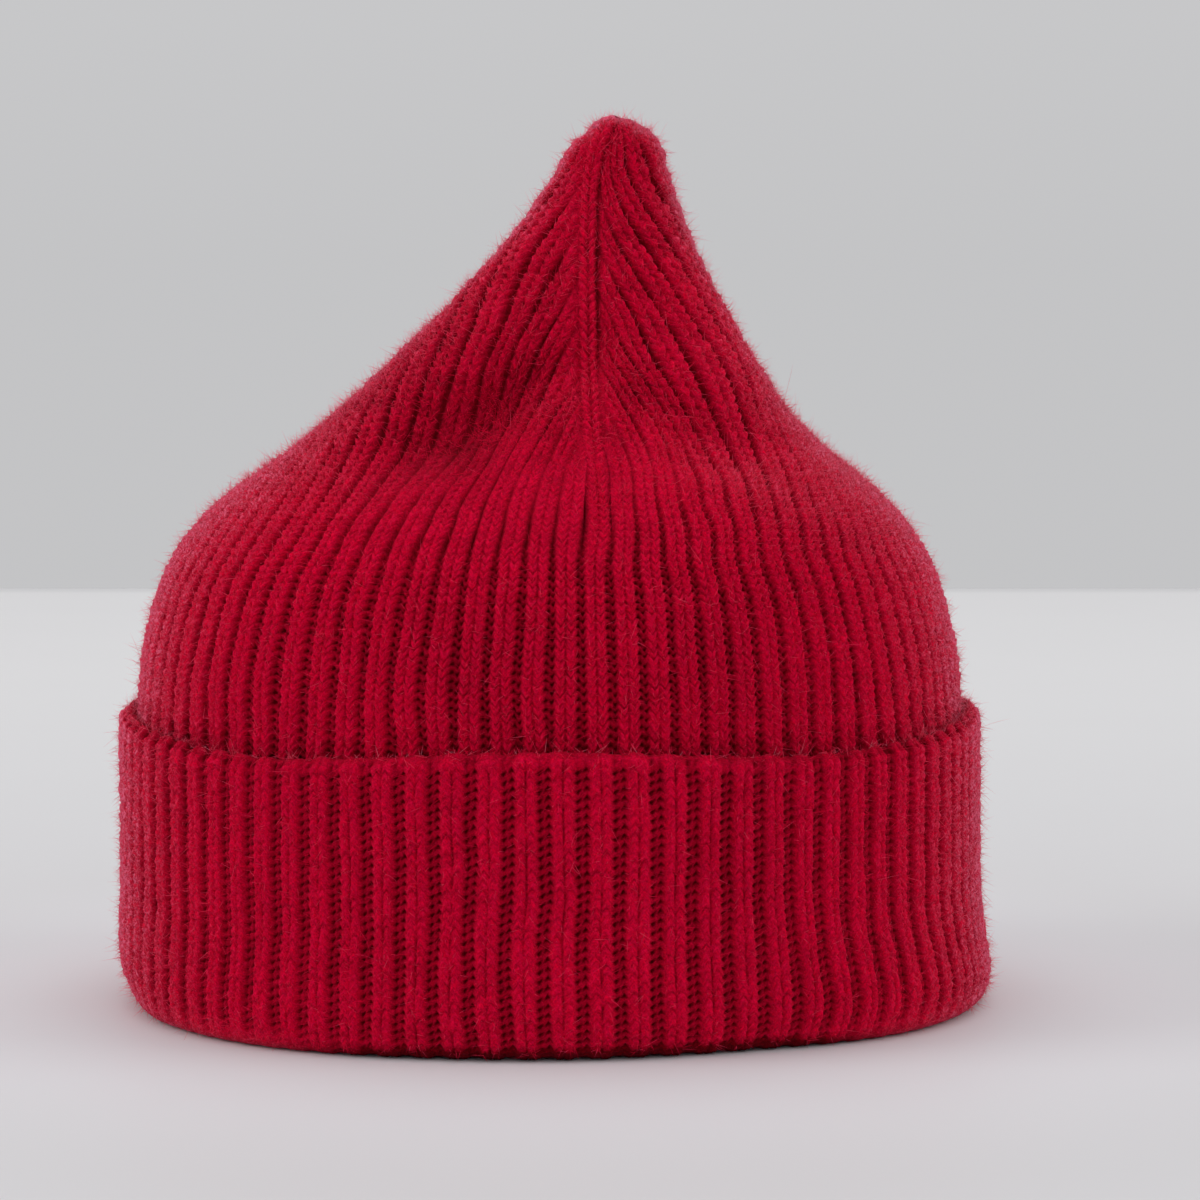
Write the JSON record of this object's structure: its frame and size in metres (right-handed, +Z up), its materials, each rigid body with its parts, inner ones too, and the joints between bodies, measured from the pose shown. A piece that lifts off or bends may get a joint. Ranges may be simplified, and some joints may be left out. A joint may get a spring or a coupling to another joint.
{
  "type": "beanie",
  "caption": "Ribbed knit beanie with a pointed, softly dented crown and a turned-up cuff, standing open side down.",
  "frame": {"origin": "centre of the hat's bounding box, on the surface it stands on", "axes": "+Z up to the tip; -Y the side with the front decrease line and the deep hollow; +X towards the side the tip leans to"},
  "size_m": [0.1858, 0.1688, 0.1865],
  "materials": {
    "wool": "soft brushed lambswool rib, crimson, matt with a pale fuzz at its edges"
  },
  "bodies": {
    "root": {"crown": "wool", "cuff": "wool"}
  },
  "joints": []
}
